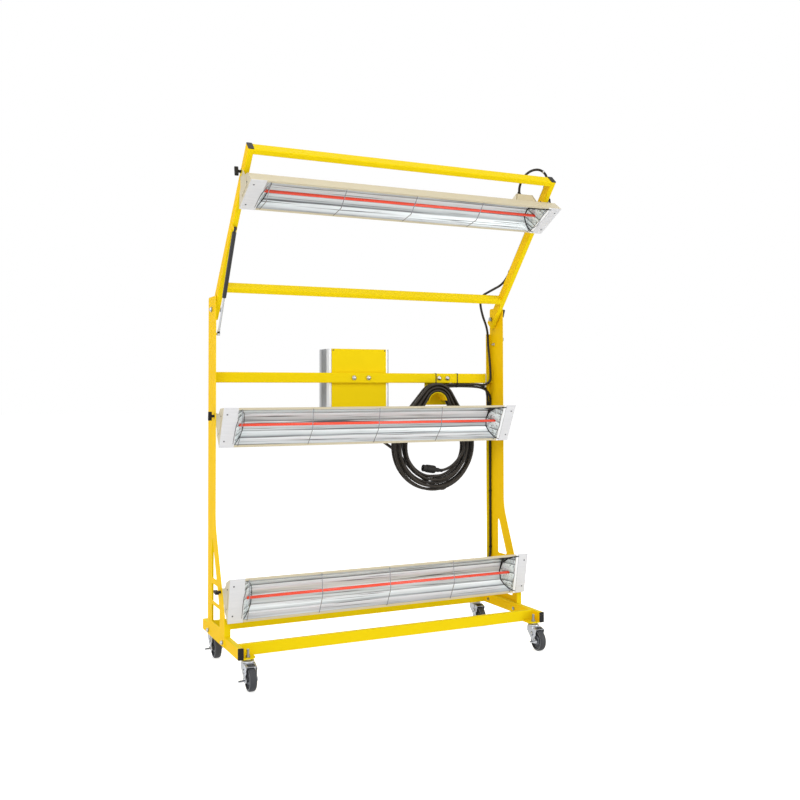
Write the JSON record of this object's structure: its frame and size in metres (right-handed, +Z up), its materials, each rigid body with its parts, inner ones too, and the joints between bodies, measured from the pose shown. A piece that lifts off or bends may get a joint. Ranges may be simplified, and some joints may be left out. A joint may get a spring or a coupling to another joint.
{
  "type": "infrared paint curing lamp",
  "caption": "Wheeled stand with a tilting upper frame, tilting infrared lamp fixtures, a gas strut, a control box and a coiled supply cable.",
  "frame": {"origin": "on the floor, at the middle of the object's plan without its cord", "axes": "+Z up, the lamps face -Y, the control box faces +Y, +X to the right seen from the front"},
  "size_m": [1.6116, 0.8602, 2.3801],
  "materials": {
    "yellow_paint": "gloss",
    "beige_paint": "satin",
    "reflector": "polished",
    "lamp_glass": "satin",
    "wire": "satin",
    "zinc": "satin",
    "black_plastic": "matte",
    "caster_tread": "matte",
    "strut_black": "satin",
    "rod_chrome": "polished",
    "box_aluminium": "satin",
    "keypad": "gloss",
    "button_black": "gloss",
    "board_green": "satin",
    "cable_rubber": "matte"
  },
  "bodies": {
    "stand": {"base_legs": "yellow_paint", "base_crossbars": "yellow_paint", "leg_end_caps": "black_plastic", "upright_left": "yellow_paint", "upright_right": "yellow_paint", "frame_bolts": "zinc", "middle_crossbar": "yellow_paint", "box_body": "box_aluminium", "box_covers": "yellow_paint", "keypad_plate": "keypad", "circuit_board": "board_green", "cable_glands": "black_plastic", "cable_hanger": "yellow_paint", "supply_cable": "cable_rubber", "supply_plug": "cable_rubber", "stand_cables": "cable_rubber", "middle_lead": "cable_rubber", "lower_lead": "cable_rubber"},
    "swing": {"swing_frame": "yellow_paint", "arm_end_caps": "black_plastic", "top_cable": "cable_rubber"},
    "strut_cylinder": {"strut_cylinder": "strut_black"},
    "strut_rod": {"strut_rod": "rod_chrome"},
    "lock_lever": {"lock_lever": "zinc"},
    "fixture_top": {"housing_top": "beige_paint", "reflector_top": "reflector", "lamp_top": "lamp_glass", "guard_top": "wire", "ears_top": "yellow_paint"},
    "knob_top_left": {"knob_top_left": "black_plastic"},
    "knob_top_right": {"knob_top_right": "black_plastic"},
    "fixture_middle": {"housing_middle": "beige_paint", "reflector_middle": "reflector", "lamp_middle": "lamp_glass", "guard_middle": "wire", "ears_middle": "yellow_paint"},
    "knob_middle_left": {"knob_middle_left": "black_plastic"},
    "knob_middle_right": {"knob_middle_right": "black_plastic"},
    "fixture_bottom": {"housing_bottom": "beige_paint", "reflector_bottom": "reflector", "lamp_bottom": "lamp_glass", "guard_bottom": "wire", "ears_bottom": "yellow_paint"},
    "knob_bottom_left": {"knob_bottom_left": "black_plastic"},
    "knob_bottom_right": {"knob_bottom_right": "black_plastic"},
    "caster_fork_front_left": {"caster_fork_front_left": "zinc"},
    "caster_wheel_front_left": {"caster_wheel_front_left": "caster_tread"},
    "caster_brake_front_left": {"caster_brake_front_left": "zinc"},
    "caster_fork_front_right": {"caster_fork_front_right": "zinc"},
    "caster_wheel_front_right": {"caster_wheel_front_right": "caster_tread"},
    "caster_brake_front_right": {"caster_brake_front_right": "zinc"},
    "caster_fork_rear_left": {"caster_fork_rear_left": "zinc"},
    "caster_wheel_rear_left": {"caster_wheel_rear_left": "caster_tread"},
    "caster_brake_rear_left": {"caster_brake_rear_left": "zinc"},
    "caster_fork_rear_right": {"caster_fork_rear_right": "zinc"},
    "caster_wheel_rear_right": {"caster_wheel_rear_right": "caster_tread"},
    "caster_brake_rear_right": {"caster_brake_rear_right": "zinc"},
    "mode_button": {"mode_button": "button_black"},
    "start_button": {"start_button": "button_black"},
    "stop_button": {"stop_button": "button_black"}
  },
  "joints": [
    {"name": "swing_tilt", "type": "hinge", "parent": "stand", "child": "swing", "pos_m": [0, 0.21063, 1.667], "axis": [1, 0, 0], "range_deg": [-31.7, 38.3], "deforming": ["top_cable"]},
    {"name": "strut_pivot", "type": "hinge", "parent": "swing", "child": "strut_cylinder", "pos_m": [-0.761, -0.1378, 1.99944], "axis": [1, 0, 0], "range_deg": [-4.27, 3.57]},
    {"name": "strut_slide", "type": "slide", "parent": "strut_cylinder", "child": "strut_rod", "axis": [0, 0.5397, -0.8418], "range_m": [-0.0778, 0.0645]},
    {"name": "lever_swing", "type": "hinge", "parent": "stand", "child": "lock_lever", "pos_m": [0.785, 0.16363, 1.552], "axis": [0, 1, 0], "range_deg": [0, 45]},
    {"name": "fixture_top_tilt", "type": "hinge", "parent": "swing", "child": "fixture_top", "pos_m": [0, -0.28363, 2.22175], "axis": [1, 0, 0], "range_deg": [-43, 0], "deforming": ["top_cable"]},
    {"name": "knob_top_left_turn", "type": "hinge", "parent": "swing", "child": "knob_top_left", "pos_m": [-0.774, -0.28363, 2.22175], "axis": [1, 0, 0], "range_deg": [0, 270]},
    {"name": "knob_top_right_turn", "type": "hinge", "parent": "swing", "child": "knob_top_right", "pos_m": [0.774, -0.28363, 2.22175], "axis": [1, 0, 0], "range_deg": [0, 270]},
    {"name": "fixture_middle_tilt", "type": "hinge", "parent": "stand", "child": "fixture_middle", "pos_m": [0, 0.15863, 1.164], "axis": [1, 0, 0], "range_deg": [-71, 14], "deforming": ["middle_lead"]},
    {"name": "knob_middle_left_turn", "type": "hinge", "parent": "stand", "child": "knob_middle_left", "pos_m": [-0.774, 0.15863, 1.164], "axis": [1, 0, 0], "range_deg": [0, 270]},
    {"name": "knob_middle_right_turn", "type": "hinge", "parent": "stand", "child": "knob_middle_right", "pos_m": [0.774, 0.15863, 1.164], "axis": [1, 0, 0], "range_deg": [0, 270]},
    {"name": "fixture_bottom_tilt", "type": "hinge", "parent": "stand", "child": "fixture_bottom", "pos_m": [0, 0.03213, 0.3705], "axis": [1, 0, 0], "range_deg": [-50, 8], "deforming": ["lower_lead"]},
    {"name": "knob_bottom_left_turn", "type": "hinge", "parent": "stand", "child": "knob_bottom_left", "pos_m": [-0.774, 0.03213, 0.3705], "axis": [1, 0, 0], "range_deg": [0, 270]},
    {"name": "knob_bottom_right_turn", "type": "hinge", "parent": "stand", "child": "knob_bottom_right", "pos_m": [0.774, 0.03213, 0.3705], "axis": [1, 0, 0], "range_deg": [0, 270]},
    {"name": "caster_front_left_swivel", "type": "hinge", "parent": "stand", "child": "caster_fork_front_left", "pos_m": [-0.7246, -0.22737, 0.12], "axis": [0, 0, 1], "continuous": true},
    {"name": "caster_front_left_roll", "type": "hinge", "parent": "caster_fork_front_left", "child": "caster_wheel_front_left", "pos_m": [-0.7246, -0.27237, 0.0508], "axis": [1, 0, 0], "continuous": true},
    {"name": "caster_front_left_brake", "type": "hinge", "parent": "caster_fork_front_left", "child": "caster_brake_front_left", "pos_m": [-0.7516, -0.27237, 0.0508], "axis": [1, 0, 0], "range_deg": [0, 25]},
    {"name": "caster_front_right_swivel", "type": "hinge", "parent": "stand", "child": "caster_fork_front_right", "pos_m": [0.7246, -0.22737, 0.12], "axis": [0, 0, 1], "continuous": true},
    {"name": "caster_front_right_roll", "type": "hinge", "parent": "caster_fork_front_right", "child": "caster_wheel_front_right", "pos_m": [0.7246, -0.27237, 0.0508], "axis": [1, 0, 0], "continuous": true},
    {"name": "caster_front_right_brake", "type": "hinge", "parent": "caster_fork_front_right", "child": "caster_brake_front_right", "pos_m": [0.6976, -0.27237, 0.0508], "axis": [1, 0, 0], "range_deg": [0, 25]},
    {"name": "caster_rear_left_swivel", "type": "hinge", "parent": "stand", "child": "caster_fork_rear_left", "pos_m": [-0.7246, 0.36563, 0.12], "axis": [0, 0, 1], "continuous": true},
    {"name": "caster_rear_left_roll", "type": "hinge", "parent": "caster_fork_rear_left", "child": "caster_wheel_rear_left", "pos_m": [-0.7246, 0.32063, 0.0508], "axis": [1, 0, 0], "continuous": true},
    {"name": "caster_rear_left_brake", "type": "hinge", "parent": "caster_fork_rear_left", "child": "caster_brake_rear_left", "pos_m": [-0.7516, 0.32063, 0.0508], "axis": [1, 0, 0], "range_deg": [0, 25]},
    {"name": "caster_rear_right_swivel", "type": "hinge", "parent": "stand", "child": "caster_fork_rear_right", "pos_m": [0.7246, 0.36563, 0.12], "axis": [0, 0, 1], "continuous": true},
    {"name": "caster_rear_right_roll", "type": "hinge", "parent": "caster_fork_rear_right", "child": "caster_wheel_rear_right", "pos_m": [0.7246, 0.32063, 0.0508], "axis": [1, 0, 0], "continuous": true},
    {"name": "caster_rear_right_brake", "type": "hinge", "parent": "caster_fork_rear_right", "child": "caster_brake_rear_right", "pos_m": [0.6976, 0.32063, 0.0508], "axis": [1, 0, 0], "range_deg": [0, 25]},
    {"name": "mode_button_press", "type": "slide", "parent": "stand", "child": "mode_button", "axis": [0, -1, 0], "range_m": [0, 0.0015], "stiffness_N_per_m": 600},
    {"name": "start_button_press", "type": "slide", "parent": "stand", "child": "start_button", "axis": [0, -1, 0], "range_m": [0, 0.0015], "stiffness_N_per_m": 600},
    {"name": "stop_button_press", "type": "slide", "parent": "stand", "child": "stop_button", "axis": [0, -1, 0], "range_m": [0, 0.0015], "stiffness_N_per_m": 600}
  ],
  "couplings": [
    {"joint": "strut_pivot", "follows": "swing_tilt", "ratio": -0.1062},
    {"joint": "strut_slide", "follows": "swing_tilt", "m_per_rad": -0.1157}
  ]
}
